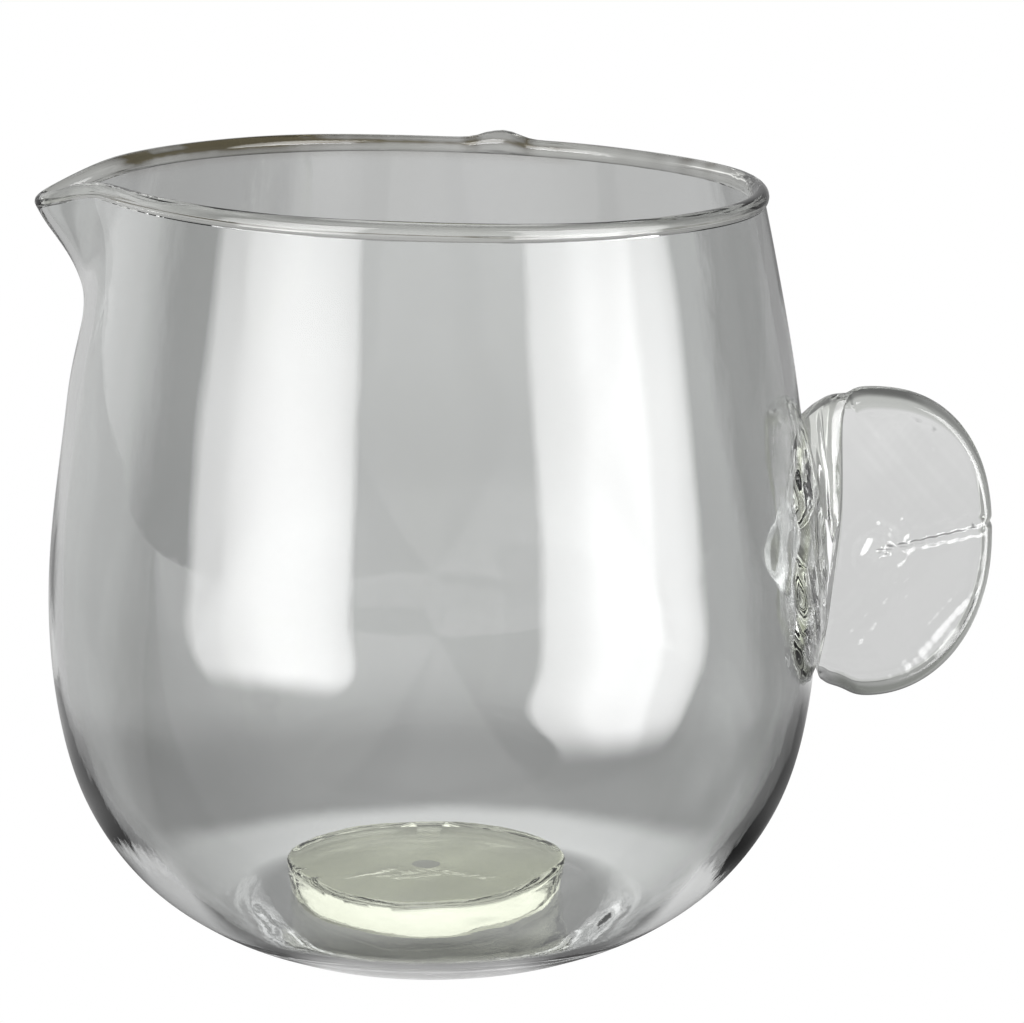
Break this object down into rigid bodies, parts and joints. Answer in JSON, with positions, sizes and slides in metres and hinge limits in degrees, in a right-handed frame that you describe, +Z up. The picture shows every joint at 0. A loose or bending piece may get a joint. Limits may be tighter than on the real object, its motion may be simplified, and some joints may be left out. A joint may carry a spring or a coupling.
{
  "type": "handled glass jug",
  "caption": "Clear hand-made glass jug with a rounded belly, beaded lip, drawn pouring spout and a flat round disc for a handle, used as a bar mixing glass.",
  "frame": {"origin": "centre of the flat underside, on the belly's axis, in the plane the jug stands on", "axes": "+Z up along the belly's axis, +X towards the handle, -X towards the spout"},
  "size_m": [0.1417, 0.1144, 0.1159],
  "materials": {
    "vessel_glass": "fire-polished clear glass with faint waves and seeds",
    "lip_glass": "fire-polished clear glass, amber stain in the crease under the bead",
    "pad_glass": "thick pale green glass, scuffed underneath",
    "seal_glass": "fire-polished clear glass with cream seams",
    "neck_glass": "fire-polished clear glass, folded and streaked",
    "disc_glass": "pressed clear glass with ripples and a shear mark"
  },
  "bodies": {
    "root": {"vessel": "vessel_glass", "lip_wrap": "lip_glass", "base_pad": "pad_glass", "handle_seal": "seal_glass", "handle_neck": "neck_glass", "handle_disc": "disc_glass"}
  },
  "joints": []
}
